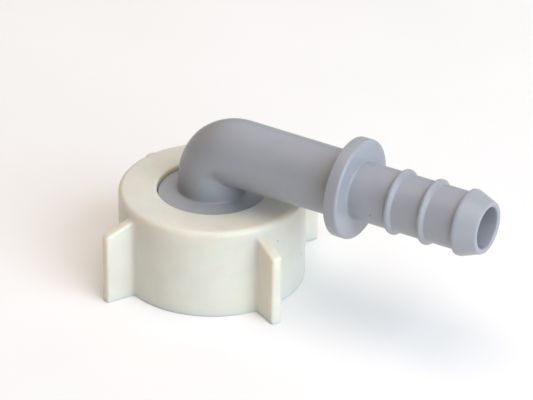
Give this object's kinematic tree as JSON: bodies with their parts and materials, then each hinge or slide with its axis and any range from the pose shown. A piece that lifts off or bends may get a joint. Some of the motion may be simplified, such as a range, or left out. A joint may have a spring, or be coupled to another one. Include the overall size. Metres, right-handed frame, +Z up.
{
  "type": "elbow hose connector with swivel nut",
  "caption": "Right-angle hose tail, with a collar, raised ridges and a barbed tip, held by its flange in a winged swivel nut with a female pipe thread.",
  "frame": {"origin": "on the nut's axis, in the plane of its open mouth, where the nut stands on a flat surface", "axes": "+Z goes up the nut's axis, away from its mouth; +X goes along the hose tail, from the bend to the barbed tip"},
  "size_m": [0.0875, 0.0466, 0.0401],
  "materials": {
    "nut_plastic": "satin cream moulding",
    "elbow_plastic": "satin blue-grey moulding",
    "washer_rubber": "matte"
  },
  "bodies": {
    "nut": {"wing_nut": "nut_plastic"},
    "washer": {"sealing_washer": "washer_rubber"},
    "elbow": {"elbow_hose_tail": "elbow_plastic"}
  },
  "joints": [
    {"name": "axial_play", "type": "slide", "parent": "nut", "child": "washer", "axis": [0, 0, 1], "range_m": [0, 0.0008]},
    {"name": "swivel", "type": "hinge", "parent": "washer", "child": "elbow", "pos_m": [0, 0, 0.0141], "axis": [0, 0, 1], "continuous": true}
  ]
}
